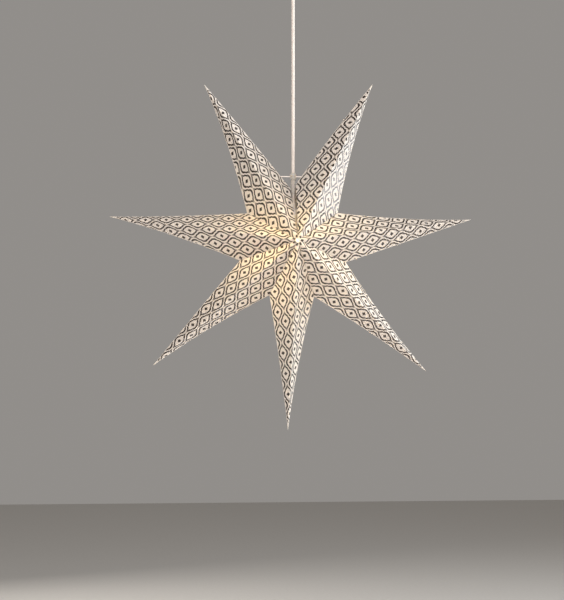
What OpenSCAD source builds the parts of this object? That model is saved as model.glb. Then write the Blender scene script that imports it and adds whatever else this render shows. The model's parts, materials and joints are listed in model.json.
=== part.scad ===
// A folding star lantern of card, hung by its flex, with its lampholder, bulb and ceiling cup.
// Origin: the centre of the ceiling cup's mounting face. +Z points up, the star faces -Y.

/* [Star] */
// Distance from the star's middle to each tip
star_r = 304; // [260:1:340]
// Distance from the star's middle to the valleys between the points
valley_r = 92; // [84:1:104]
// Depth of the star from front hub to back hub
star_depth = 140; // [130:5:160]
// Drop from the ceiling to the star's middle
star_drop = 520; // [500:5:700]
// How far the side points sag under their own weight, in degrees
sag = 4.8; // [0:0.2:6]
// Direction of the sag, in degrees clockwise from straight down
sag_lean = 20; // [0:5:30]
// Thickness of the card
card_t = 0.5; // [0.4:0.1:0.8]
// Width of the glue flaps inside the valleys
flap_w = 8; // [8:1:9]

/* [Flex and lamp] */
// Diameter of the flex
flex_d = 5.6; // [5:0.2:6]
// Diameter of the bulb's glass
bulb_d = 45; // [35:1:45]
// Diameter of the lampholder
holder_d = 28; // [26:1:30]
// Diameter of the wire that the star hangs on
wire_d = 1.8; // [1.6:0.1:2.2]

/* [Ceiling cup] */
// Diameter of the cup
cup_d = 84; // [80:2:100]
// Height of the cup
cup_h = 52; // [50:1:56]
// Distance between the two screw holes of the mounting plate
screw_spacing = 52; // [46:1:54]
// Diameter of the screw holes
screw_hole_d = 4.6; // [4:0.1:5]

/* [Hidden] */
$fn = 64;

// The flex's route from the strain relief down to the lampholder
flex_route = [[0, 0, -86], [0, 0, -100], [0, 0, -125], [0, 0, -150], [0, 0, -175], [0, 0, -200],
    [0, 0, -225], [0, 0, -250], [0, 0, -275], [0, 0, -300], [0, 0, -325], [0, 0, -350],
    [0, 0, -375], [0, 0, -400], [0, 0, -425], [0, 0, -450], [0, 0, -466]];
flex_sides = 12;
flex_r = flex_d / 2;
core_d = 2.2;
// Balls at the bends of bent wires are this much fatter than the wire
knee_extra = 0.2;
gap = 0.3;

points = 7;
pitch = 360 / points;
half_depth = star_depth / 2;
// Half of the gap left between neighbouring points
seam_gap = 0.15;
// Distance from the star's middle to the plane of a panel
panel_c = 1 / norm([1 / star_r, 1 / half_depth,
    (1 - valley_r * cos(pitch / 2) / star_r) / (valley_r * sin(pitch / 2))]);
card_scale = 1 - card_t / panel_c;
seam_len = norm([valley_r, half_depth]);
wire_z = 114;
clip_r = 3.6;
// Flaps of the closing seam stand further from it, with room for the hook and loop dots
closing_offset = 1.1;
dot_t = 1;
dot_d = 7;

plate_t = 2;
cup_floor = 2.5;
rim_r = 39;
ball_r = 8.7;
seat_r = 7.5;
ball_z = -cup_h + cup_floor + sqrt(pow(ball_r + gap, 2) - pow(seat_r, 2));
relief_end = -82.8;
upper_top = -34;
holder_r = holder_d / 2;
mouth_z = 12;
base_top = mouth_z + 18.5;
globe_r = bulb_d / 2;
globe_z = mouth_z - 54 + globe_r;

// Angle of a tip or valley, clockwise from straight up, with the sag added
function hung(a) = a + sag * sin(a - sag_lean);
function valley_a(k) = hung(k * pitch);
function tip_a(k) = hung((k - 0.5) * pitch);
function on_star(a, r) = [r * sin(a), 0, r * cos(a)];

// A tube swept along a route: each ring is [centre, radius], and all rings lie level
module level_tube(rings, sides) {
    last = len(rings) - 1;
    polyhedron(
        points = [for (ring = rings) for (s = [0 : sides - 1])
            ring[0] + ring[1] * [cos(360 * s / sides), sin(360 * s / sides), 0]],
        faces = concat(
            [[for (s = [0 : sides - 1]) s]],
            [[for (s = [sides - 1 : -1 : 0]) last * sides + s]],
            [for (n = [0 : last - 1]) for (s = [0 : sides - 1])
                [n * sides + s, (n + 1) * sides + s,
                    (n + 1) * sides + (s + 1) % sides, n * sides + (s + 1) % sides]]));
}

// A round bar between two places
module bar(from, to, d) {
    run = to - from;
    translate(from)
        rotate([0, acos(run[2] / norm(run)), atan2(run[1], run[0])])
            cylinder(d = d, h = norm(run));
}

// A ring or disc about Z between two heights
module ring(outer, inner, low, high) {
    translate([0, 0, low]) difference() {
        cylinder(r = outer, h = high - low);
        if (inner > 0) translate([0, 0, -1]) cylinder(r = inner, h = high - low + 2);
    }
}

module at_star() { translate([0, 0, -star_drop]) children(); }

// ---- ceiling fitting ----

module ceiling_plate() color("lightgray") difference() {
    union() {
        ring(rim_r, 0, -plate_t, 0);
        ring(rim_r, rim_r - 1.4, -12, -plate_t);
    }
    for (side = [-1, 1]) {
        translate([side * screw_spacing / 2, 0, -plate_t - 1])
            cylinder(d = screw_hole_d, h = plate_t + 2);
        translate([side * (rim_r - 4), 0, -7]) rotate([0, 90, 0])
            cylinder(r = 1.25, h = 8, center = true);
    }
    translate([0, -18, -plate_t - 1]) cylinder(r = 5, h = plate_t + 2);
}

module ceiling_cup() color("white") difference() {
    rotate_extrude() difference() {
        hull() {
            translate([0, -1]) square([cup_d / 2, 0.5]);
            translate([cup_d / 2 - 10, -cup_h + 8]) circle(r = 8, $fn = 32);
            translate([0, -cup_h]) square([cup_d / 2 - 10, 4]);
        }
        hull() {
            translate([0, -1]) square([cup_d / 2 - 2, 2]);
            translate([cup_d / 2 - 10, -cup_h + cup_floor + 6]) circle(r = 6, $fn = 32);
            translate([0, -cup_h + cup_floor]) square([cup_d / 2 - 10, 4]);
        }
        translate([-1, -cup_h - 1]) square([seat_r + 1, 5]);
        translate([-cup_d, -cup_d]) square([cup_d, 2 * cup_d]);
    }
    for (side = [0, 180]) rotate([0, 0, side]) translate([rim_r - 2, 0, -7])
        rotate([0, 90, 0]) cylinder(r = 1.6, h = 10);
}

module cup_screws() color("silver")
    for (side = [0, 180]) rotate([0, 0, side]) translate([0, 0, -7]) rotate([0, 90, 0]) {
        translate([0, 0, rim_r - 3]) cylinder(r = 1.2, h = cup_d / 2 - rim_r + 3);
        translate([0, 0, cup_d / 2 - 0.1]) difference() {
            cylinder(r = 2.6, h = 1.5);
            translate([-0.4, -3, 0.9]) cube([0.8, 6, 1]);
        }
    }

block_y = 20;
block_half = [12, 7, 6.5];
module terminal_block() color("ivory") difference() {
    translate([-block_half[0], block_y - block_half[1], -plate_t - 2 * block_half[2]])
        cube(2 * block_half);
    for (side = [-1, 1]) {
        translate([side * 6, block_y - 10, -plate_t - 7]) rotate([-90, 0, 0])
            cylinder(r = 1.8, h = 20);
        for (row = [-1, 1])
            translate([side * 6, block_y + row * 3.4, -plate_t - 14]) cylinder(r = 1.6, h = 6);
    }
    translate([-0.6, block_y - 8, -plate_t - 14]) cube([1.2, 16, 5]);
}

module terminal_screws() color("gold")
    for (side = [-1, 1]) for (row = [-1, 1])
        translate([side * 6, block_y + row * 3.4, -plate_t - 12]) difference() {
            cylinder(r = 1.5, h = 3.8);
            translate([-2, -0.3, -1]) cube([4, 0.6, 1.8]);
        }

// One insulated core from the flex's cut end to its terminal
module ceiling_core(side) {
    bend = [side * 1.4, 0, upper_top + 6];
    turn = [side * 5, block_y - 14, -plate_t - 12];
    mouth = [side * 6, block_y - 9, -plate_t - 7];
    bar([side * 1.4, 0, upper_top + 1.6], bend, core_d);
    bar(bend, turn, core_d);
    bar(turn, mouth, core_d);
    bar(mouth, mouth + [0, 7, 0], core_d);
    for (knee = [bend, turn, mouth]) translate(knee) sphere(d = core_d + knee_extra);
}
module live_core() color("saddlebrown") ceiling_core(-1);
module neutral_core() color("royalblue") ceiling_core(1);

// ---- flex ----

// A ball that rests in the cup's floor, with a tapered sleeve below it
module strain_relief() color("white") difference() {
    rotate_extrude() difference() {
        union() {
            translate([0, ball_z]) circle(r = ball_r);
            polygon([[0, ball_z], [4.6, ball_z], [4.6, -54], [5.8, -57], [4.4, relief_end + 1],
                [4, relief_end], [0, relief_end]]);
        }
        for (z = [-62 : -4 : -78]) translate([3.9, z]) square([3, 1.5]);
        translate([-50, relief_end - 50]) square([50, 100]);
        translate([0, relief_end - 1]) square([flex_r + 0.05, 80]);
    }
}

module cord_upper() color("white")
    level_tube([for (z = [relief_end, -72, -60, -48, upper_top]) [[0, 0, z], flex_r]], flex_sides);

module cord() color("white") {
    top = flex_route[0];
    level_tube(concat(
        [for (n = [len(flex_route) - 1 : -1 : 0]) [flex_route[n], flex_r]],
        [for (a = [30, 60, 85]) [top + [0, 0, flex_r * sin(a)], flex_r * cos(a)]]), flex_sides);
}

// ---- lampholder ----

module holder_cap() color("white") at_star() rotate_extrude() difference() {
    polygon([[flex_r + gap, 70], [4.8, 70], [5.4, 69], [5.4, 62], [8.5, 60.5], [12, 57],
        [holder_r, 51], [holder_r, 36.2], [flex_r + gap, 36.2]]);
    polygon([[0, 59], [7.4, 59], [10.6, 55.5], [holder_r - 1.6, 50], [holder_r - 1.6, 36],
        [0, 36]]);
}

module holder_body() color("white") at_star() rotate_extrude() difference() {
    union() {
        translate([0, 10]) square([holder_r, 26]);
        for (z = [12 : 2.6 : 33]) translate([0, z]) square([holder_r + 0.5, 1.2]);
        translate([0, 30]) square([holder_r - 1.8, 12]);
    }
    translate([0, 9]) square([holder_r - 3.4, 40]);
}

module shade_ring() color("white") at_star() difference() {
    ring(holder_r + 4, holder_r + 0.6, 16, 21);
    for (a = [0 : 20 : 340]) rotate([0, 0, a]) translate([holder_r + 4.4, 0, 15])
        cylinder(r = 0.9, h = 7, $fn = 16);
}

module holder_insert() color("whitesmoke") at_star() difference() {
    union() {
        ring(holder_r - 3.5, 0, 36.6, 42);
        ring(holder_r - 4.4, 8.2, 28, 36.6);
    }
    translate([0, 0, 30]) cylinder(r = 1.5, h = 20);
    for (side = [-1, 1]) translate([side * 6, 0, 38.5]) cylinder(r = 1.6, h = 5);
}

module holder_shell() color("goldenrod") at_star() rotate_extrude() difference() {
    union() {
        translate([7.3, 13]) square([0.6, 23.4]);
        for (z = [14.5 : 2.8 : 32]) translate([7.75, z]) circle(r = 0.35, $fn = 16);
    }
    translate([6, 12]) square([1.3, 30]);
}

module centre_contact() color("goldenrod") at_star() {
    translate([0, 0, 35.2]) cylinder(r = 2.6, h = 0.8);
    translate([0, 0, 35.9]) cylinder(r = 1.3, h = 4);
}

module cord_grip() color("white") at_star() difference() {
    translate([-7, -4.6, 50.5]) cube([14, 9.2, 7]);
    translate([0, 0, 50]) cylinder(r = flex_r + gap, h = 9);
    translate([-8, -0.3, 50]) cube([16, 0.6, 9]);
    for (side = [-1, 1]) translate([side * 5.2, -6, 54]) rotate([-90, 0, 0])
        cylinder(r = 0.9, h = 12);
}

module grip_screws() color("silver") at_star()
    for (side = [-1, 1]) translate([side * 5.2, -4.7, 54]) rotate([-90, 0, 0]) {
        cylinder(r = 0.8, h = 8.8);
        translate([0, 0, -1]) cylinder(r = 1.4, h = 1);
    }

module holder_cores() color("saddlebrown") at_star()
    for (side = [-1, 1]) {
        knee = [side * 3, 0, 47.5];
        bar([side * 1.3, 0, 52.8], knee, core_d);
        bar(knee, [side * 6, 0, 42.5], core_d);
        bar([side * 6, 0, 43], [side * 6, 0, 39], core_d);
        for (at = [knee, [side * 6, 0, 42.7]]) translate(at) sphere(d = core_d + knee_extra);
    }

// ---- bulb ----

module bulb_tip() color("silver") at_star()
    rotate_extrude() polygon([[0, base_top + 2.6], [2.2, base_top + 2.6], [2.2, base_top + 3.4],
        [1.2, base_top + 4.4], [0, base_top + 4.6]]);

module bulb_insulator() color("black") at_star()
    rotate_extrude() polygon([[0, base_top - 1.5], [5.9, base_top - 1.5], [5.9, base_top + 0.1],
        [3.6, base_top + 2.2], [0, base_top + 2.2]]);

module bulb_base() color("silver") at_star() rotate_extrude() difference() {
    union() {
        translate([6.4, mouth_z + 0.4]) square([0.4, base_top - mouth_z - 1.4]);
        for (z = [mouth_z + 3 : 2.8 : base_top - 2])
            translate([6.65, z]) circle(r = 0.35, $fn = 16);
        polygon([[6.4, base_top - 1.2], [6.8, base_top - 1.2], [6.4, base_top], [6, base_top]]);
    }
    translate([5, mouth_z]) square([0.98, 30]);
}

module bulb_globe() color("lightyellow", 0.5) at_star() rotate_extrude() {
    wall = 0.8;
    difference() {
        union() {
            translate([0, globe_z]) circle(r = globe_r, $fn = 96);
            polygon([[0, globe_z], [globe_r * 0.8, globe_z + globe_r * 0.55],
                [13, 2.5], [8, 8], [6.2, mouth_z], [6.2, mouth_z + 4], [0, mouth_z + 4]]);
        }
        translate([0, globe_z]) circle(r = globe_r - wall, $fn = 96);
        polygon([[0, globe_z], [(globe_r - wall) * 0.8, globe_z + (globe_r - wall) * 0.55],
            [12.2, 2], [7.4, 7.4], [5.4, mouth_z], [5.4, mouth_z + 5], [0, mouth_z + 5]]);
        translate([-60, -100]) square([60, 200]);
    }
}

module bulb_stem() color("lightyellow") at_star() rotate_extrude()
    polygon([[0, mouth_z + 3.9], [5.2, mouth_z + 3.9], [5.2, mouth_z + 2.5], [2.6, mouth_z - 3],
        [1.6, -2], [1.6, globe_z + 17], [2.4, globe_z + 15], [0, globe_z + 14]]);

module bulb_leads() color("silver") at_star()
    for (side = [-1, 1])
        bar([side * 2.75, 0, globe_z + 15], [side * 10, 0, globe_z + 2], 0.5);

module bulb_filament() color("gold") at_star() translate([0, 0, globe_z + 2])
    intersection() {
        rotate([90, 0, 0]) rotate_extrude() translate([10, 0]) circle(r = 0.5, $fn = 16);
        translate([-12, -2, -12]) cube([24, 4, 12]);
    }

// ---- hanger ----

// A sleeve on the flex with two flanges, which the wire's half loop sits between
module cord_clip() color("honeydew", 0.8) at_star() rotate_extrude() difference() {
    union() {
        translate([0, 86]) square([clip_r, 34]);
        for (z = [wire_z + 1.2, wire_z - 4.2])
            translate([0, z]) square([clip_r + 1.6, 3]);
    }
    translate([-1, 80]) square([flex_r + gap + 1, 50]);
}

module hanger_wire() color("white") at_star() translate([0, 0, wire_z]) {
    loop_r = clip_r + wire_d / 2 + 0.1;
    reach = 30;
    rotate_extrude(angle = 180) translate([loop_r, 0]) circle(d = wire_d);
    for (side = [-1, 1]) {
        elbow = [side * reach, 0, 0];
        bar([side * loop_r, 0, 0], elbow, wire_d);
        bar(elbow, elbow + [side * 3, 0, -9], wire_d);
        for (at = [elbow, [side * loop_r, 0, 0]]) translate(at) sphere(d = wire_d + knee_extra);
    }
}

// ---- star ----

// The folded sheet of one point, without its flaps: four panels that meet at two ridges and
// two side edges, open at the seams to its neighbours
module folded_sheet(tip, left, right) {
    corners = [on_star(tip, star_r), [0, -half_depth, 0], [0, half_depth, 0],
        on_star(left, valley_r), on_star(right, valley_r)];
    polyhedron(
        points = concat(corners, card_scale * corners),
        faces = [[0, 1, 3], [0, 4, 1], [0, 3, 2], [0, 2, 4],
            [5, 8, 6], [5, 6, 9], [5, 7, 8], [5, 9, 7],
            [1, 6, 8, 3], [2, 3, 8, 7], [1, 4, 9, 6], [2, 7, 9, 4]]);
}

// A glue flap that stands into the star along a valley, front (face = -1) or back (face = 1).
// One that stands off the seam starts further out, inside the thickness of the panel there
module glue_flap(valley, side, face, offset) {
    start = 0.05 - 0.9 * offset;
    out = [valley_r, 0];
    along = [-valley_r, half_depth] / seam_len;
    into = [-half_depth, -valley_r] / seam_len;
    rotate([0, valley, 0]) translate([side * (offset + card_t / 2 + 0.05), 0, 0])
        rotate([90, 0, 0]) rotate([0, 90, 0]) linear_extrude(height = card_t, center = true)
            scale([face, 1]) rotate(90) scale([1, -1]) polygon([
                out + start * into + 1.5 * along,
                out + flap_w * into + (flap_w * valley_r / half_depth + 1) * along,
                out + flap_w * into + (seam_len - 26) * along,
                out + start * into + (seam_len - 14) * along]);
}

module star_point(k) {
    tip = tip_a(k);
    first = k == 1;
    last = k == points;
    color("white") at_star() difference() {
        translate(on_star(tip, seam_gap / sin(pitch / 2))) union() {
            folded_sheet(tip, valley_a(k - 1), valley_a(k));
            for (face = [-1, 1]) {
                glue_flap(valley_a(k - 1), 1, face, first ? closing_offset : 0);
                glue_flap(valley_a(k), -1, face, last ? closing_offset : 0);
            }
        }
        // Room for the flex's sleeve at the closing seam, and the holes that the wire hangs in
        if (first || last) {
            translate([0, 0, 60]) cylinder(r = clip_r + 0.9, h = 60);
            translate([first ? 5 : -45, 0, wire_z]) rotate([0, 90, 0])
                cylinder(d = wire_d + 1.6, h = 40);
        }
    }
}
module star_point_1() star_point(1);
module star_point_2() star_point(2);
module star_point_3() star_point(3);
module star_point_4() star_point(4);
module star_point_5() star_point(5);
module star_point_6() star_point(6);
module star_point_7() star_point(7);

// Two round dots on the closing flaps, one in front and one behind
module closing_dots(side) at_star() {
    middle = [valley_r, 0] + [-valley_r, half_depth] * 0.45
        + [-half_depth, -valley_r] / seam_len * (flap_w / 2 + 0.3);
    for (face = [-1, 1])
        rotate([0, valley_a(0), 0]) translate([side * 0.22, face * middle[1], middle[0]])
            rotate([0, side * 90, 0]) cylinder(d = dot_d, h = dot_t);
}
module hook_dots() color("white") closing_dots(1);
module loop_dots() color("white") closing_dots(-1);

ceiling_plate();
ceiling_cup();
cup_screws();
terminal_block();
terminal_screws();
live_core();
neutral_core();
strain_relief();
cord_upper();
cord();
holder_cap();
holder_body();
shade_ring();
holder_insert();
holder_shell();
centre_contact();
cord_grip();
grip_screws();
holder_cores();
bulb_tip();
bulb_base();
bulb_insulator();
bulb_globe();
bulb_stem();
bulb_leads();
bulb_filament();
cord_clip();
hanger_wire();
star_point_1();
star_point_2();
star_point_3();
star_point_4();
star_point_5();
star_point_6();
star_point_7();
hook_dots();
loop_dots();
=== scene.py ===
"""A folding paper star lantern, lit: its looks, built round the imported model. Metres."""

import json
import math

import bmesh
import bpy
from mathutils import Matrix, Vector, noise as turbulence


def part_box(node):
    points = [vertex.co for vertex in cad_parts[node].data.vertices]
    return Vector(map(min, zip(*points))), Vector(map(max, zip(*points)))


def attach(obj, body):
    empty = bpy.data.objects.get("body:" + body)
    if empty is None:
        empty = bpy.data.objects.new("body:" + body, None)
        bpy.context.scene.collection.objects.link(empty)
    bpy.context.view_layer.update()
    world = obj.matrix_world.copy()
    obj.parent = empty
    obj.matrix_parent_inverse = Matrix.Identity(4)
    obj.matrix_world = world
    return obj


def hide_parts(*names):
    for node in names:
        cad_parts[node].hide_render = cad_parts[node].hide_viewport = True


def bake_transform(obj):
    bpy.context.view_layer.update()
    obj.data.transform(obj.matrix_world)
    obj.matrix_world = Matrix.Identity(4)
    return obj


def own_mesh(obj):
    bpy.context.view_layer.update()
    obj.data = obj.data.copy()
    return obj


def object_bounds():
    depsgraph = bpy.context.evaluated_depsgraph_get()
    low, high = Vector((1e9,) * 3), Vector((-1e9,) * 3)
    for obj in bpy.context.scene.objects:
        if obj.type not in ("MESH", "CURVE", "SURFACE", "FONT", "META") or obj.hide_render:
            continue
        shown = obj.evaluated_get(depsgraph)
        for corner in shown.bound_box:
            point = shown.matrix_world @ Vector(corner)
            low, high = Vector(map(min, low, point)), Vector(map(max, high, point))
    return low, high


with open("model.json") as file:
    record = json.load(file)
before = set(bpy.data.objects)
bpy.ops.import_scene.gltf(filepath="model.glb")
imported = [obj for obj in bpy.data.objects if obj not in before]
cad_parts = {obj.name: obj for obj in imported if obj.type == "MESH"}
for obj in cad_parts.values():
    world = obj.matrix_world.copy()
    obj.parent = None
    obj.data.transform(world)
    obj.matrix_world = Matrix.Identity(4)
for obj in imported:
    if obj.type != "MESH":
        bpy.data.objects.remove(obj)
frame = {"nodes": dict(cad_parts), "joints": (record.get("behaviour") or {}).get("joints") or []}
cad_box = [list(corner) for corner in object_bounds()]

MM = 0.001
joints = {joint["name"]: joint for joint in frame["joints"]}
middle = Vector(joints["star_fold"]["pos_m"])


def add_object(name, data):
    """Puts a mesh, light or camera into the scene."""
    obj = bpy.data.objects.new(name, data)
    bpy.context.scene.collection.objects.link(obj)
    return obj


def add_mesh(name, mesh, *materials):
    """Puts a bmesh into the scene, and frees it."""
    data = bpy.data.meshes.new(name)
    mesh.to_mesh(data)
    mesh.free()
    for material in materials:
        data.materials.append(material)
    return add_object(name, data)


# ---- camera ----

PHOTO_WIDTH = 564
FOCAL_PIXELS = 1300
SENSOR = 36
# Where the photo was taken from, and the way it looks
CAMERA_PLACE = (-0.244, -2.123, -0.7706)
CAMERA_WAY = Vector((0.1053, 0.9917, 0.0744))

camera_data = bpy.data.cameras.new("camera")
camera_data.sensor_fit = "HORIZONTAL"
camera_data.sensor_width = SENSOR
camera_data.lens = SENSOR * FOCAL_PIXELS / PHOTO_WIDTH
camera = add_object("camera", camera_data)
camera.location = CAMERA_PLACE
camera.rotation_euler = CAMERA_WAY.to_track_quat("-Z", "Y").to_euler()
bpy.context.scene.camera = camera


# ---- node maths ----

# The size of a plain surface's drifting tint, and the change in roughness at its middle
DRIFT_SIZE = 12 * MM
ROUGHNESS_MIDDLE = 0.14


class Value:
    """A number in a material's nodes, so that node maths reads as arithmetic."""

    def __init__(self, tree, socket):
        self.tree = tree
        self.socket = socket

    def math(self, operation, *others):
        node = self.tree.nodes.new("ShaderNodeMath")
        node.operation = operation
        for slot, other in zip(node.inputs, (self, *others)):
            plug(self.tree, other, slot)
        return Value(self.tree, node.outputs[0])

    def __add__(self, other): return self.math("ADD", other)
    def __sub__(self, other): return self.math("SUBTRACT", other)
    def __mul__(self, other): return self.math("MULTIPLY", other)
    def __truediv__(self, other): return self.math("DIVIDE", other)
    __radd__ = __add__
    __rmul__ = __mul__
    def __rsub__(self, other): return (self * -1.0) + other
    def abs(self): return self.math("ABSOLUTE")
    def sign(self): return self.math("SIGN")
    def most(self, other): return self.math("MAXIMUM", other)
    def least(self, other): return self.math("MINIMUM", other)

    def step(self, low, high):
        """0 below low, 1 above high, smooth between."""
        node = self.tree.nodes.new("ShaderNodeMapRange")
        node.interpolation_type = "SMOOTHSTEP"
        plug(self.tree, self, node.inputs["Value"])
        node.inputs["From Min"].default_value = low
        node.inputs["From Max"].default_value = high
        return Value(self.tree, node.outputs["Result"])


def plug(tree, value, slot):
    """Puts a number, colour or Value on a node's input."""
    if isinstance(value, Value):
        tree.links.new(value.socket, slot)
    else:
        slot.default_value = value


def mix_colours(tree, factor, a, b):
    node = tree.nodes.new("ShaderNodeMix")
    node.data_type = "RGBA"
    for name, value in (("Factor_Float", factor), ("A_Color", a), ("B_Color", b)):
        slot = next(s for s in node.inputs if s.identifier == name)
        plug(tree, (*value, 1.0) if isinstance(value, tuple) else value, slot)
    return Value(tree, next(s for s in node.outputs if s.identifier == "Result_Color"))


def coordinates(tree, stretch=(1, 1, 1), uv_map=None):
    """A piece's own coordinates in metres, or those of a UV map, stretched."""
    if uv_map:
        source = tree.nodes.new("ShaderNodeUVMap")
        source.uv_map = uv_map
        out = source.outputs["UV"]
    else:
        out = tree.nodes.new("ShaderNodeTexCoord").outputs["Object"]
    scale = tree.nodes.new("ShaderNodeMapping")
    scale.inputs["Scale"].default_value = stretch
    tree.links.new(out, scale.inputs["Vector"])
    return scale.outputs["Vector"]


def noise(tree, size, place, detail=3.0, rough=0.55):
    """Cloudy noise, with features of a size in metres."""
    node = tree.nodes.new("ShaderNodeTexNoise")
    node.inputs["Scale"].default_value = 1 / size
    node.inputs["Detail"].default_value = detail
    node.inputs["Roughness"].default_value = rough
    tree.links.new(place, node.inputs["Vector"])
    return Value(tree, node.outputs["Fac"])


def cells(tree, size, place):
    """Distance to the nearest of many scattered points, as a share of their spacing."""
    node = tree.nodes.new("ShaderNodeTexVoronoi")
    node.inputs["Scale"].default_value = 1 / size
    tree.links.new(place, node.inputs["Vector"])
    return Value(tree, node.outputs["Distance"])


def new_material(name, **constants):
    """A material and its tree and surface shader; constants are set on the shader itself."""
    material = bpy.data.materials.new(name)
    material.use_nodes = True
    tree = material.node_tree
    shader = tree.nodes["Principled BSDF"]
    for key, value in constants.items():
        shader.inputs[key.replace("_", " ")].default_value = value
    return material, tree, shader


def bump(tree, shader, height, depth):
    """Raises and lowers the surface by a height of 0 to 1 times depth."""
    node = tree.nodes.new("ShaderNodeBump")
    node.inputs["Distance"].default_value = depth
    node.inputs["Strength"].default_value = 1.0
    plug(tree, height, node.inputs["Height"])
    tree.links.new(node.outputs["Normal"], shader.inputs["Normal"])


def plain_material(name, colour, dark, roughness, grain, depth, **constants):
    """A moulded, drawn or painted surface: tint that drifts, fine grain and uneven gloss."""
    material, tree, shader = new_material(name, **constants)
    place = coordinates(tree)
    drift = noise(tree, DRIFT_SIZE, place)
    fine = noise(tree, grain, place, detail=4.0)
    worn = (drift * 0.7 + fine * 0.3).step(0.3, 0.75)
    plug(tree, mix_colours(tree, worn, dark, colour), shader.inputs["Base Color"])
    gloss = fine * 0.16 + drift * 0.12 + (roughness - ROUGHNESS_MIDDLE)
    plug(tree, gloss, shader.inputs["Roughness"])
    bump(tree, shader, fine, depth)
    return material


# ---- printed card ----

# The print repeats on a square grid, turned against the point's front fold. All in mm
PRINT_PITCH = 23.9
PRINT_TURN = math.radians(29.4)
PRINT_START = (5.7, -6.7)
CELL_HALF = 9.0
CELL_SWELL = 0.85
CELL_FLARE = 2.2
LOBE_ROUND = 5.2
POINT_ROUND = 0.5
LINE_HALF = 1.4
LOBE_LINE_HALF = 1.85
LINE_BLUR = 0.3
DOT_WIDE = 3.2
DOT_LONG = 4.8
PINHOLE = (0.5, 1.1)
BARE_SIDE = (0.7, 1.3)
BARE_TIP = (10.0, 16.0)

# Where a cell's side swells and flares, as shares of half its length
SWELL_BEGINS, SWELL_ENDS = (-0.1, 0.2), (0.15, 0.8)
FLARE_BEGINS = (0.6, 1.4)
# Where a point's corner turns into a lobe's, where a lobe's line is thicker, and where and how
# much its print fades: the first and last are products of two distances, in mm2
LOBE_BEGINS = (-8.0, 8.0)
THICK_BEGINS = (3.0, 11.0)
FADE_BEGINS, FADE = (60.0, 120.0), 0.35
DIAGONAL = 0.707
DOT_RIM_BLUR = (0.85, 1.15)

FOIL_COLOUR = (0.10, 0.085, 0.08)
FOIL_KEPT, FOIL_WORN = 0.7, 0.3
WEAR_BEGINS = (0.34, 0.42)
FOIL_METAL = 0.95
FOIL_STOPS_LIGHT = 0.88
PAPER_DARK, PAPER_LIGHT = (0.80, 0.765, 0.74), (0.94, 0.915, 0.89)
PAPER_ROUGHNESS, FOIL_SMOOTHER, FIBRE_ROUGHER = 0.62, 0.36, 0.2
INSIDE_COLOUR, INSIDE_DARK = (0.52, 0.48, 0.44), (0.44, 0.41, 0.37)
THROUGH_COLOUR = (1.0, 0.93, 0.78)
# The share of light that goes through the card, and through a pinhole
THROUGH = 0.45
PINHOLE_THROUGH = 0.95

FIBRE_SIZE = 0.0012
CLOUD_SIZE = 0.02
WEAR_SIZE = 0.003
FOIL_HEIGHT = 0.00006
FIBRE_HEIGHT = 0.00005


def split(tree, uv_map):
    """The two numbers of a UV map, in mm."""
    node = tree.nodes.new("ShaderNodeSeparateXYZ")
    tree.links.new(coordinates(tree, uv_map=uv_map, stretch=(1000, 1000, 1)),
                   node.inputs["Vector"])
    return Value(tree, node.outputs["X"]), Value(tree, node.outputs["Y"])


def paper_texture(tree):
    """The card's fibres and its clouding, 0 to 1."""
    place = coordinates(tree, uv_map="print")
    return noise(tree, FIBRE_SIZE, place, detail=5.0, rough=0.7), noise(tree, CLOUD_SIZE, place)


def mix_shaders(tree, share, first, second):
    """Puts a mix of two shaders on the surface: share 0 is the first and 1 the second."""
    node = tree.nodes.new("ShaderNodeMixShader")
    plug(tree, share, node.inputs["Fac"])
    tree.links.new(first.outputs[0], node.inputs[1])
    tree.links.new(second.outputs[0], node.inputs[2])
    tree.links.new(node.outputs[0], tree.nodes["Material Output"].inputs["Surface"])


def length_of(a, b):
    """The length of a step of a along one axis and b along the other."""
    return (a.math("POWER", 2.0) + b.math("POWER", 2.0)).math("SQRT")


def print_pattern(tree):
    """The foil's lines and dots, and the pinholes where four cells meet, 0 to 1."""
    x, y = (value - start for value, start in zip(split(tree, "print"), PRINT_START))
    cos, sin = math.cos(PRINT_TURN), math.sin(PRINT_TURN)

    def within_cell(along):
        return ((along / PRINT_PITCH + 0.5).math("FRACT") - 0.5) * PRINT_PITCH

    def side(out, beside):
        """Distance out to a side, which swells near its middle and flares at its point."""
        along = out.sign() * beside / CELL_HALF
        swell = along.step(*SWELL_BEGINS) * (1.0 - along.step(*SWELL_ENDS))
        return out.abs() - swell * CELL_SWELL - along.step(*FLARE_BEGINS) * CELL_FLARE

    a = within_cell(x * cos + y * sin)
    b = within_cell(x * sin - y * cos)
    # Two opposite corners of a cell are round lobes, and the other two are points
    quarter = a * b
    corner = LOBE_ROUND - quarter.step(*LOBE_BEGINS) * (LOBE_ROUND - POINT_ROUND)
    a_past = side(a, b) + corner - CELL_HALF
    b_past = side(b, a) + corner - CELL_HALF
    beyond = length_of(a_past.most(0.0), b_past.most(0.0))
    edge = beyond + a_past.most(b_past).least(0.0) - corner
    across_lobes, across_points = (a - b).abs(), (a + b).abs()
    thicker = (across_lobes - across_points).step(*THICK_BEGINS)
    half = thicker * (LOBE_LINE_HALF - LINE_HALF) + LINE_HALF
    line = 1.0 - (edge.abs() - half).step(-LINE_BLUR, LINE_BLUR)
    line = line * (1.0 - quarter.step(*FADE_BEGINS) * FADE)
    dot = across_points * (DIAGONAL / DOT_WIDE) + across_lobes * (DIAGONAL / DOT_LONG)
    dot = 1.0 - dot.step(*DOT_RIM_BLUR)
    pinhole = length_of(PRINT_PITCH / 2 - a.abs(), PRINT_PITCH / 2 - b.abs())
    return line.most(dot), 1.0 - pinhole.step(*PINHOLE)


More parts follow.
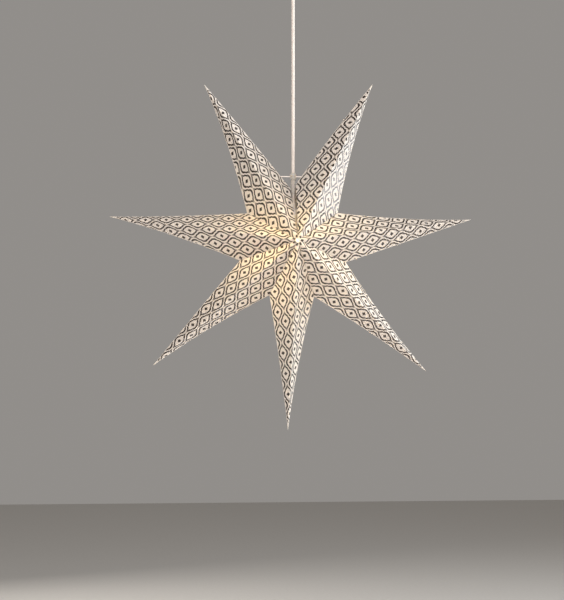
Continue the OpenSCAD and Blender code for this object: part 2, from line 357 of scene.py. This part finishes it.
def card_material():
    """White card with a foil print of rounded cells; it lets some light through."""
    material, tree, shader = new_material(
        "card_print", IOR=1.45, Specular_IOR_Level=0.3, Sheen_Weight=0.06)
    pattern, pinhole = print_pattern(tree)
    from_side, from_tip = split(tree, "edges")
    printed = from_side.step(*BARE_SIDE) * from_tip.step(*BARE_TIP)
    fibre, cloud = paper_texture(tree)
    wear = noise(tree, WEAR_SIZE, coordinates(tree, uv_map="print"), detail=4.0)
    foil = pattern * printed * (FOIL_KEPT + wear.step(*WEAR_BEGINS) * FOIL_WORN)

    paper = mix_colours(tree, fibre * 0.5 + cloud * 0.5, PAPER_DARK, PAPER_LIGHT)
    plug(tree, mix_colours(tree, foil, paper, FOIL_COLOUR), shader.inputs["Base Color"])
    plug(tree, foil * FOIL_METAL, shader.inputs["Metallic"])
    plug(tree, PAPER_ROUGHNESS - foil * FOIL_SMOOTHER + (fibre - 0.5) * FIBRE_ROUGHER,
         shader.inputs["Roughness"])
    bump(tree, shader, fibre * 0.35 + foil * 0.65, FOIL_HEIGHT)

    # Pinholes let more light out, and the foil lets little through
    through = tree.nodes.new("ShaderNodeBsdfTranslucent")
    through.inputs["Color"].default_value = (*THROUGH_COLOUR, 1.0)
    lit = pinhole * printed * (PINHOLE_THROUGH - THROUGH) + THROUGH
    mix_shaders(tree, (1.0 - foil * FOIL_STOPS_LIGHT) * lit, shader, through)
    return material


def lining_material():
    """The card's plain inner face. Rays from lamps pass it, so that the bulb lights the print."""
    material, tree, shader = new_material("card_inside", Roughness=0.8, IOR=1.45)
    fibre, cloud = paper_texture(tree)
    plug(tree, mix_colours(tree, fibre * 0.6 + cloud * 0.4, INSIDE_DARK, INSIDE_COLOUR),
         shader.inputs["Base Color"])
    bump(tree, shader, fibre, FIBRE_HEIGHT)
    is_shadow = tree.nodes.new("ShaderNodeLightPath").outputs["Is Shadow Ray"]
    mix_shaders(tree, Value(tree, is_shadow), shader,
                tree.nodes.new("ShaderNodeBsdfTransparent"))
    return material


# ---- the star's points ----

CARD_T = 0.5 * MM
# Rows of triangles in a panel, and how far a ridge fold bows out in its middle
ROWS = 30
RIDGE_BOW = 0.6 * MM
# These bring the product of a place's shares to 1 in the middle of an edge, and of a panel
EDGE_PEAK = 4
PANEL_PEAK = 27
# A place is told from another by its coordinates rounded to one part in this many of a metre
SAME_PLACE = 1e7
# A place with less than this share of the tip is on the seam
ON_SEAM = 1e-6
# The valleys are found among the points this near the star's middle plane
LEVEL = 0.2 * MM
STRAIGHT_UP = 0.99

FLAP_W = 8 * MM
FLAP_FROM_VALLEY = 2 * MM
FLAP_FROM_HUB = 3 * MM
FLAP_HUB_SLANT = 1.5
# How far down the flap each row of its mesh lies, as shares of its width
FLAP_ROWS = (0.0, 0.16, 0.55, 1.0)
# The closing seam's flaps stand off it, which leaves room for the dots
CLOSING_GAP = 1.25 * MM

# The wire's holes, one in each upper point, run from the first to the second distance off the
# middle. The room for the flex between those points runs up from the star's middle likewise
WIRE_Z = middle.z + 114 * MM
WIRE_HOLE_R = 1.7 * MM
WIRE_HOLE = (5 * MM, 45 * MM)
FLEX_ROOM_R = 4.5 * MM
FLEX_ROOM = (0.06, 0.12)

FOLD_JOINTS = {1: "star_fold", 2: "fold_2", 3: "fold_3", 4: "star_fold",
               5: "fold_5", 6: "fold_6", 7: "fold_7"}
# How far each panel crowns, in mm: front left, front right, back left, back right
CROWNS = {1: (0.8, -0.6, 0.5, 0.3), 2: (-0.5, 0.9, 0.4, -0.4), 3: (0.9, 0.5, -0.3, 0.6),
          4: (-0.4, 0.8, 0.5, 0.2), 5: (0.7, -0.5, 0.3, 0.5), 6: (0.5, 0.8, -0.5, 0.4),
          7: (-0.8, 0.7, 0.5, -0.3)}
# How far each side edge bows inwards, in mm: left, right
BOWS = {1: (-2, 5), 2: (4, 0), 3: (4, 1.8), 4: (4, 1.3), 5: (4, -0.5), 6: (4, 1.7), 7: (5, -1)}
# The two points at the closing seam: their dots, and the way along X that they lie
SEAM_POINTS = {1: ("hook_dots", 1), 7: ("loop_dots", -1)}


class Sheet:
    """Folded card in the making: an outer and an inner skin, joined along their rims."""

    def __init__(self):
        self.mesh = bmesh.new()
        self.print_uv = self.mesh.loops.layers.uv.new("print")
        self.edge_uv = self.mesh.loops.layers.uv.new("edges")
        self.outer, self.inner = {}, {}
        self.creases = []

    def vertex(self, place, inside):
        """Adds a point to both skins, unless it is there, and gives its key."""
        key = tuple(round(c * SAME_PLACE) for c in place)
        if key not in self.outer:
            self.outer[key] = self.mesh.verts.new(place)
            self.inner[key] = self.mesh.verts.new(inside)
        return key

    def face(self, spots, lined):
        """Adds a face to both skins. A spot is its key, its place in the print, and its
        distances from the side edge and the tip. Lined faces are plain on both sides."""
        for skin, inward in ((self.outer, False), (self.inner, True)):
            order = spots[::-1] if inward else spots
            made = self.mesh.faces.new([skin[key] for key, _, _ in order])
            made.smooth = True
            made.material_index = int(inward or lined)
            for loop, (_, in_print, from_edges) in zip(made.loops, order):
                loop[self.print_uv].uv = in_print
                loop[self.edge_uv].uv = from_edges

    def close_rims(self):
        """Joins the skins along the outer one's open edges."""
        keys = {vertex: key for key, vertex in self.outer.items()}
        rims = [edge for edge in self.mesh.edges if edge.is_boundary and edge.verts[0] in keys]
        for edge in rims:
            start = edge.link_loops[0]
            end = start.link_loop_next
            made = self.mesh.faces.new((end.vert, start.vert, self.inner[keys[start.vert]],
                                        self.inner[keys[end.vert]]))
            for loop, source in zip(made.loops, (end, start, start, end)):
                loop[self.print_uv].uv = source[self.print_uv].uv
                loop[self.edge_uv].uv = source[self.edge_uv].uv

    def sharpen_creases(self):
        """Keeps the shading sharp along the folds."""
        for first, second in self.creases:
            for skin in (self.outer, self.inner):
                edge = self.mesh.edges.get((skin[first], skin[second]))
                if edge:
                    edge.smooth = False

    def finish(self, name, *materials):
        """Puts the sheet into the scene."""
        self.close_rims()
        self.sharpen_creases()
        self.mesh.normal_update()
        return add_mesh(name, self.mesh, *materials)


def corners_of(node):
    """A point's tip, front and back hub, and its left and right valley, off its CAD solid."""
    places = [v.co.copy() for v in frame["nodes"][node].data.vertices]
    tip = max(places, key=lambda p: (p - middle).length)
    across = Vector((0, 1, 0)).cross((tip - middle).normalized())
    level = [p for p in places if abs(p.y) < LEVEL]
    left = min(level, key=lambda p: (p - middle).dot(across))
    right = max(level, key=lambda p: (p - middle).dot(across))
    front = min(places, key=lambda p: p.y)
    back = max(places, key=lambda p: p.y)
    return tip, front, back, left, right


def flap_share(c, seam_length):
    """How wide a flap is at a share c of its seam, from hub 0 to valley 1."""
    from_valley = (1 - c) * seam_length - FLAP_FROM_VALLEY
    from_hub = c * seam_length - FLAP_FROM_HUB
    return max(0.0, min(1.0, from_valley / FLAP_W, from_hub / (FLAP_HUB_SLANT * FLAP_W)))


def polar(angle, distance):
    """The place at a distance from the start, at an angle to the first axis."""
    return Vector((distance * math.cos(angle), distance * math.sin(angle)))


def add_panel(sheet, tip, hub, valley, facing, hand, crown, bow, measures):
    """One of a point's four panels, and the flap that hangs off its seam into the star.
    facing is -1 in front and 1 at the back, and hand is -1 on the left and 1 on the right."""
    ridge, side, apex, shrink = measures
    across = Vector((0, 1, 0)).cross((tip - middle).normalized())
    outwards = Vector((0, facing, 0))
    normal = (valley - tip).cross(hub - tip).normalized()
    if normal.dot(tip - middle) < 0:
        normal.negate()
    seam_length = (hub - valley).length
    seam_way = (hub - valley).normalized()
    valley_way = (valley - middle).normalized()
    into = -valley_way * abs(seam_way.y) - outwards * abs(seam_way.dot(valley_way))
    off_seam = across * -hand
    off_seam = (off_seam - into * off_seam.dot(into)
                - seam_way * off_seam.dot(seam_way)).normalized()
    panel_way = (tip - valley) - seam_way * (tip - valley).dot(seam_way)
    panel_way.normalize()

    # The flat sheet: the tip at its start, and the front fold along its first axis
    hub_in_print = polar(0 if facing < 0 else -hand * 2 * apex, ridge)
    valley_in_print = polar(-hand * apex, side)
    seam_in_print = (hub_in_print - valley_in_print).normalized()
    flap_in_print = Vector((seam_in_print.y, -seam_in_print.x)) * hand
    hub_from_side = (hub - tip).cross(valley - tip).length / (valley - tip).length

    # a, b and c are a place's shares of the tip, the hub and the valley
    grid = {}
    for i in range(ROWS + 1):
        for j in range(ROWS + 1 - i):
            a, b, c = 1 - (i + j) / ROWS, i / ROWS, j / ROWS
            place = tip * a + hub * b + valley * c
            place = place - across * hand * (bow * MM * EDGE_PEAK * a * c)
            place = place - outwards * (RIDGE_BOW * EDGE_PEAK * a * b)
            place = place + normal * (crown * MM * PANEL_PEAK * a * b * c)
            inside = middle + (place - middle) * shrink
            if a < ON_SEAM and flap_share(c, seam_length) > 0:
                inside = inside + panel_way * (CARD_T / panel_way.dot(off_seam))
            grid[i, j] = (sheet.vertex(place, inside), hub_in_print * b + valley_in_print * c,
                          Vector((b * hub_from_side, (1 - a) * ridge)))

    def put(*spots, lined=False):
        spots = [spot for spot in spots if spot is not None]
        if len(spots) > 2:
            sheet.face(spots[::-1] if facing * hand > 0 else spots, lined)

    for i in range(ROWS):
        for j in range(ROWS - i):
            put(grid[i, j], grid[i + 1, j], grid[i, j + 1])
            if i + j < ROWS - 1:
                put(grid[i + 1, j], grid[i + 1, j + 1], grid[i, j + 1])
    for n in range(ROWS):
        sheet.creases += [(grid[n, 0][0], grid[n + 1, 0][0]), (grid[0, n][0], grid[0, n + 1][0]),
                          (grid[ROWS - n, n][0], grid[ROWS - n - 1, n + 1][0])]

    stand = CLOSING_GAP if valley_way.z > STRAIGHT_UP else 0.0
    strip = {}
    for j in range(ROWS + 1):
        key, in_print, from_edges = strip[j, 0] = grid[ROWS - j, j]
        share = flap_share(j / ROWS, seam_length)
        if share <= 0:
            continue
        for row, depth in enumerate(FLAP_ROWS[1:], 1):
            place = sheet.outer[key].co + into * (FLAP_W * depth * share) \
                + off_seam * stand * share
            strip[j, row] = (sheet.vertex(place, place + off_seam * CARD_T),
                             in_print + flap_in_print * FLAP_W * depth * share, from_edges)
    for j in range(ROWS):
        for row in range(len(FLAP_ROWS) - 1):
            put(strip.get((j, row)), strip.get((j, row + 1)),
                strip.get((j + 1, row + 1)), strip.get((j + 1, row)), lined=True)


def star_point(number, card, lining):
    """One point: a folded sheet with thickness, and glue flaps along its seams."""
    tip, front, back, left, right = corners_of(f"star_point_{number}")
    panel_gap = abs((left - tip).cross(front - tip).normalized().dot(tip - middle))
    # A panel's ridge and side edge, the angle between them, and the inner skin's size
    measures = ((front - tip).length, (left - tip).length, (front - tip).angle(left - tip),
                1 - CARD_T / panel_gap)
    sheet = Sheet()
    panels = [(hub, valley, facing, hand) for hub, facing in ((front, -1), (back, 1))
              for valley, hand in ((left, -1), (right, 1))]
    for (hub, valley, facing, hand), crown in zip(panels, CROWNS[number]):
        bow = BOWS[number][0 if hand < 0 else 1]
        add_panel(sheet, tip, hub, valley, facing, hand, crown, bow, measures)
    piece = sheet.finish(f"paper_point_{number}", card, lining)
    return piece, Vector((0, 1, 0)).cross((tip - middle).normalized())


# ---- hook-and-loop dots ----

DOT_SIDES = 56
# How deep the fluffy face is worn at most, as a share of the dot's thickness
DOT_FLUFF = 0.2
TUFT_SIZE = 0.7 * MM
LOOP_SIZE = 0.0006
FUZZ_SIZE = 0.0009
LOOP_HEIGHT = 0.0003
DOT_LIGHT, DOT_DARK = (0.96, 0.96, 0.95), (0.74, 0.73, 0.71)
# A dot's profile from its stuck face round its rim: shares of its radius and thickness
DOT_RIM = ((0.93, 0.0), (0.98, 0.05), (1.0, 0.16), (1.0, 0.34), (0.985, 0.50), (0.955, 0.62),
           (0.91, 0.70))
DOT_FACE = tuple(share / 16 for share in range(13, 0, -1))


def dot_material():
    """Fluffy loops of a hook-and-loop dot."""
    material, tree, shader = new_material("dot_fabric", Sheen_Weight=0.5)
    place = coordinates(tree)
    loops = cells(tree, LOOP_SIZE, place)
    fuzz = noise(tree, FUZZ_SIZE, place, detail=5.0)
    plug(tree, mix_colours(tree, loops * 0.7 + fuzz * 0.3, DOT_LIGHT, DOT_DARK),
         shader.inputs["Base Color"])
    plug(tree, fuzz * 0.2 + 0.75, shader.inputs["Roughness"])
    bump(tree, shader, loops, LOOP_HEIGHT)
    return material


def fabric_dots(node, fluffy_way, material):
    """The two round dots of a CAD node, front and back, with a fluffy face and a firm rim."""
    low, high = (Vector(corner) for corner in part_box(node))
    radius, thickness = (high.z - low.z) / 2, high.x - low.x
    stuck = low.x if fluffy_way > 0 else high.x
    mesh = bmesh.new()
    for y in (low.y + radius, high.y - radius):
        centre = Vector((stuck, y, (low.z + high.z) / 2))

        def place(out, up, side):
            angle = math.tau * side / DOT_SIDES
            spot = centre + Vector((0, math.cos(angle), math.sin(angle))) * (radius * out)
            return spot + Vector((fluffy_way * thickness * up, 0, 0))

        def fluffy(out, side):
            tuft = turbulence.noise(place(out, 0, side) / TUFT_SIZE)
            return place(out, 1 - DOT_FLUFF * (0.5 - 0.5 * tuft), side)

        rings = [[mesh.verts.new(place(out, up, side)) for side in range(DOT_SIDES)]
                 for out, up in DOT_RIM]
        rings += [[mesh.verts.new(fluffy(out, side)) for side in range(DOT_SIDES)]
                  for out in DOT_FACE]
        for inner, outer in zip(rings, rings[1:]):
            for side in range(DOT_SIDES):
                after = (side + 1) % DOT_SIDES
                mesh.faces.new((inner[side], inner[after], outer[after], outer[side]))
        mesh.faces.new(rings[0])
        mesh.faces.new(rings[-1])
    bmesh.ops.recalc_face_normals(mesh, faces=mesh.faces)
    for face in mesh.faces:
        face.smooth = True
    return add_mesh(f"fluffy_{node}", mesh, material)


# ---- the points put together ----

ROD_SIDES = 32


def cut(obj, *cutters):
    """Cuts each cutter's shape out of obj for good."""
    for cutter in cutters:
        modifier = obj.modifiers.new("cut", "BOOLEAN")
        modifier.operation = "DIFFERENCE"
        modifier.solver = "EXACT"
        modifier.object = cutter
    bpy.context.view_layer.update()
    shape = obj.evaluated_get(bpy.context.evaluated_depsgraph_get())
    data = bpy.data.meshes.new_from_object(shape)
    obj.modifiers.clear()
    old = obj.data
    obj.data = data
    bpy.data.meshes.remove(old)
    for cutter in cutters:
        bpy.data.objects.remove(cutter)


def rod(name, start, end, radius):
    """A plain round bar that only serves as a cutter."""
    mesh = bmesh.new()
    way = end - start
    bmesh.ops.create_cone(mesh, cap_ends=True, segments=ROD_SIDES, radius1=radius,
                          radius2=radius, depth=way.length)
    turn = way.to_track_quat("Z", "Y").to_matrix().to_4x4()
    bmesh.ops.transform(mesh, matrix=Matrix.Translation((start + end) / 2) @ turn,
                        verts=mesh.verts)
    return add_mesh(name, mesh)


card = card_material()
lining = lining_material()
fluff = dot_material()
for number, fold in FOLD_JOINTS.items():
    piece, across = star_point(number, card, lining)
    dots, hand = SEAM_POINTS.get(number, (None, 0))
    if dots:
        cut(piece,
            rod("room", *(middle + Vector((0, 0, z)) for z in FLEX_ROOM), FLEX_ROOM_R),
            rod("hole", *(Vector((hand * x, 0, WIRE_Z)) for x in WIRE_HOLE), WIRE_HOLE_R))
    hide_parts(f"star_point_{number}")
    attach(piece, "hanger" if number == 4 else f"point_{number}")
    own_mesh(piece)
    if dots:
        piece = fabric_dots(dots, -hand, fluff)
        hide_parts(dots)
        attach(piece, f"point_{number}")
        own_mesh(piece)


# ---- flex ----

FLEX_D = 5.6 * MM
FLEX_SIDES = 24
# The flex's route, in mm down from the ceiling: through the strain relief, then down
# into the lampholder. Each stretch is cut into steps
FLEX_HEIGHTS = (-34, -48, -60, -72, -86, *range(-100, -451, -25), -466)
FLEX_STEPS = 4


def tube(name, places, radius, sides, material):
    """A closed tube along places, with flat ends."""
    curve = bpy.data.curves.new(name, "CURVE")
    curve.dimensions = "3D"
    spline = curve.splines.new("POLY")
    spline.points.add(len(places) - 1)
    for point, place in zip(spline.points, places):
        point.co = (*place, 1)
    curve.bevel_depth = radius
    curve.bevel_resolution = sides // 4 - 1
    curve.use_fill_caps = True
    obj = add_object(name, curve)
    bpy.context.view_layer.update()
    shape = obj.evaluated_get(bpy.context.evaluated_depsgraph_get())
    data = bpy.data.meshes.new_from_object(shape)
    bpy.data.objects.remove(obj)
    bpy.data.curves.remove(curve)
    for polygon in data.polygons:
        polygon.use_smooth = True
    data.materials.clear()
    data.materials.append(material)
    return add_object(name, data)


def finer(places, steps):
    """More points along the same line."""
    fine = []
    for start, end in zip(places, places[1:]):
        fine += [start.lerp(end, n / steps) for n in range(steps)]
    return fine + [places[-1]]


flex_material = plain_material("flex_pvc", (0.68, 0.63, 0.58), (0.62, 0.57, 0.52), roughness=0.42,
                               grain=0.0008, depth=0.00003, IOR=1.5, Coat_Weight=0.15)
flex_line = finer([Vector((0, 0, z * MM)) for z in FLEX_HEIGHTS], FLEX_STEPS)
flex = tube("flex", flex_line, FLEX_D / 2, FLEX_SIDES, flex_material)
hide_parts("cord", "cord_upper")
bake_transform(flex)


# ---- CAD nodes with better materials ----

# How wide the softened edge is on each kind of part
MOULDED_EDGE = 0.25 * MM
ROUNDED_EDGE = 0.5 * MM
METAL_EDGE = 0.1 * MM
SHEET_METAL_EDGE = 0.08 * MM
EDGE_ANGLE = math.radians(40)
EDGE_SEGMENTS = 2


def dress(material, *nodes, bevel=MOULDED_EDGE):
    """Gives CAD nodes a material, and softens their edges."""
    for name in nodes:
        node = frame["nodes"][name]
        node.data.materials.clear()
        node.data.materials.append(material)
        if bevel:
            soft = node.modifiers.new("soft_edges", "BEVEL")
            soft.width = bevel
            soft.segments = EDGE_SEGMENTS
            soft.limit_method = "ANGLE"
            soft.angle_limit = EDGE_ANGLE
            soft.use_clamp_overlap = True


dress(plain_material("plate_steel", (0.74, 0.75, 0.76), (0.62, 0.63, 0.64), roughness=0.45,
                     grain=0.0015, depth=0.00004, Metallic=0.6),
      "ceiling_plate")
dress(plain_material("cup_plastic", (0.76, 0.75, 0.73), (0.70, 0.69, 0.66), roughness=0.32,
                     grain=0.0012, depth=0.00003, IOR=1.5, Coat_Weight=0.2),
      "ceiling_cup", bevel=ROUNDED_EDGE)
dress(plain_material("screw_steel", (0.66, 0.66, 0.68), (0.46, 0.46, 0.48), roughness=0.3,
                     grain=0.0006, depth=0.00002, Metallic=1.0),
      "cup_screws", "grip_screws", bevel=METAL_EDGE)
dress(plain_material("terminal_nylon", (0.86, 0.84, 0.76), (0.78, 0.76, 0.68), roughness=0.5,
                     grain=0.001, depth=0.00003),
      "terminal_block")
brass = plain_material("brass", (0.80, 0.60, 0.27), (0.60, 0.42, 0.18), roughness=0.32,
                       grain=0.0008, depth=0.00002, Metallic=1.0)
dress(brass, "terminal_screws", "holder_shell", "centre_contact", bevel=SHEET_METAL_EDGE)
dress(plain_material("core_brown", (0.30, 0.13, 0.06), (0.22, 0.09, 0.04), roughness=0.4,
                     grain=0.0008, depth=0.00002),
      "live_core", "holder_cores", bevel=0)
dress(plain_material("core_blue", (0.07, 0.22, 0.62), (0.05, 0.15, 0.45), roughness=0.4,
                     grain=0.0008, depth=0.00002),
      "neutral_core", bevel=0)
dress(plain_material("relief_pvc", (0.74, 0.71, 0.67), (0.66, 0.63, 0.58), roughness=0.55,
                     grain=0.0008, depth=0.00004),
      "strain_relief")
dress(plain_material("holder_plastic", (0.80, 0.78, 0.74), (0.73, 0.70, 0.66), roughness=0.38,
                     grain=0.001, depth=0.00003, IOR=1.5),
      "holder_cap", "holder_body", "shade_ring", "cord_grip")
dress(plain_material("insert_ceramic", (0.88, 0.86, 0.80), (0.80, 0.77, 0.70), roughness=0.25,
                     grain=0.002, depth=0.00003, Coat_Weight=0.5),
      "holder_insert")
dress(plain_material("solder", (0.62, 0.62, 0.63), (0.45, 0.45, 0.46), roughness=0.4,
                     grain=0.0006, depth=0.00005, Metallic=1.0),
      "bulb_tip", bevel=METAL_EDGE)
dress(plain_material("bulb_metal", (0.78, 0.75, 0.68), (0.60, 0.57, 0.50), roughness=0.3,
                     grain=0.0008, depth=0.00002, Metallic=1.0),
      "bulb_base", bevel=SHEET_METAL_EDGE)
dress(plain_material("bulb_black_glass", (0.02, 0.02, 0.025), (0.01, 0.01, 0.012), roughness=0.15,
                     grain=0.001, depth=0.00001, Coat_Weight=0.6),
      "bulb_insulator")
dress(plain_material("lead_wire", (0.62, 0.60, 0.56), (0.45, 0.42, 0.38), roughness=0.35,
                     grain=0.0005, depth=0.00001, Metallic=1.0),
      "bulb_leads", bevel=0)
dress(plain_material("stem_glass", (0.95, 0.96, 0.95), (0.90, 0.92, 0.91), roughness=0.15,
                     grain=0.001, depth=0.00001, Transmission_Weight=0.9, IOR=1.5),
      "bulb_stem", bevel=0)
dress(plain_material("filament", (1.0, 0.75, 0.4), (0.9, 0.6, 0.3), roughness=0.5, grain=0.0004,
                     depth=0.00002, Emission_Color=(1.0, 0.55, 0.22, 1.0), Emission_Strength=30.0),
      "bulb_filament", bevel=0)
globe_glass = plain_material("bulb_glass", (1.0, 0.95, 0.86), (0.98, 0.91, 0.80), roughness=0.45,
                             grain=0.002, depth=0.00002, IOR=1.45,
                             Emission_Color=(1.0, 0.86, 0.60, 1.0), Emission_Strength=6.0)
dress(globe_glass, "bulb_globe", bevel=0)
dress(plain_material("clip_clear", (0.76, 0.68, 0.60), (0.66, 0.58, 0.50), roughness=0.28,
                     grain=0.0012, depth=0.00003, Transmission_Weight=0.35, IOR=1.46,
                     Subsurface_Weight=0.2),
      "cord_clip")
dress(plain_material("wire_lacquer", (0.92, 0.87, 0.82), (0.84, 0.78, 0.72), roughness=0.3,
                     grain=0.0008, depth=0.00002, Coat_Weight=0.3),
      "hanger_wire", bevel=0)


# ---- stage ----

GLOW_POWER = 0.40
GLOW_RADIUS = 16 * MM
GLOW_OFFSET = Vector((-7, -4, -3)) * MM
GLOW_COLOUR = (1.0, 0.70, 0.30)
WORLD_COLOUR = (0.30, 0.285, 0.27, 1)
WORLD_STRENGTH = 0.95
FLOOR_DROP = 0.6
FLOOR_HALF = 6
FLOOR_SQUARES = 8


def area_light(name, place, size, power, colour, mirrored=True):
    """A soft round light aimed at the star; the foil doesn't show it unless mirrored."""
    light = bpy.data.lights.new(name, "AREA")
    light.shape = "DISK"
    light.size = size
    light.energy = power
    light.color = colour
    obj = add_object(name, light)
    obj.location = place
    obj.rotation_euler = (middle - Vector(place)).to_track_quat("-Z", "Y").to_euler()
    obj.visible_glossy = mirrored
    obj.visible_camera = False


# Each light's place, size in metres, power in watts and colour
area_light("window", (2.5, -0.1, -0.3), 2.8, 82, (0.86, 0.94, 1.0))
area_light("front_up", (0.0, -2.3, 0.6), 1.8, 42, (1.0, 0.91, 0.88), mirrored=False)
area_light("high_right", (1.4, -0.9, 1.1), 1.4, 15, (1.0, 0.95, 0.93))
area_light("low_left", (-1.7, -1.9, -0.8), 1.2, 16, (1.0, 0.92, 0.86), mirrored=False)
area_light("floor_right", (0.55, -0.6, -1.35), 0.8, 5, (1.0, 0.84, 0.72))
area_light("floor_left", (-0.3, -0.6, -1.3), 0.6, 2.2, (1.0, 0.93, 0.92), mirrored=False)
area_light("back", (-1.0, 2.0, 0.2), 2.0, 34, (1.0, 0.95, 0.90), mirrored=False)

# The bulb's light. It comes from a lamp in the globe, which itself only looks bright
globe = frame["nodes"]["bulb_globe"]
globe.visible_shadow = False
low, high = (Vector(corner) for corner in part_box("bulb_globe"))
glow = bpy.data.lights.new("glow", "POINT")
glow.energy = GLOW_POWER
glow.color = GLOW_COLOUR
glow.shadow_soft_size = GLOW_RADIUS
lamp = add_object("glow", glow)
lamp.location = (low + high) / 2 + GLOW_OFFSET
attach(lamp, "bulb")

bpy.context.scene.view_settings.view_transform = "Standard"
world = bpy.data.worlds.new("world")
bpy.context.scene.world = world
world.use_nodes = True
background = world.node_tree.nodes["Background"]
background.inputs["Color"].default_value = WORLD_COLOUR
background.inputs["Strength"].default_value = WORLD_STRENGTH

floor_mesh = bmesh.new()
bmesh.ops.create_grid(floor_mesh, x_segments=FLOOR_SQUARES, y_segments=FLOOR_SQUARES,
                      size=FLOOR_HALF)
floor_paint = plain_material("floor_paint", (0.62, 0.60, 0.57), (0.58, 0.56, 0.53),
                             roughness=0.7, grain=0.01, depth=0.0002)
floor = add_mesh("floor", floor_mesh, floor_paint)
floor.location.z = cad_box[0][2] - FLOOR_DROP
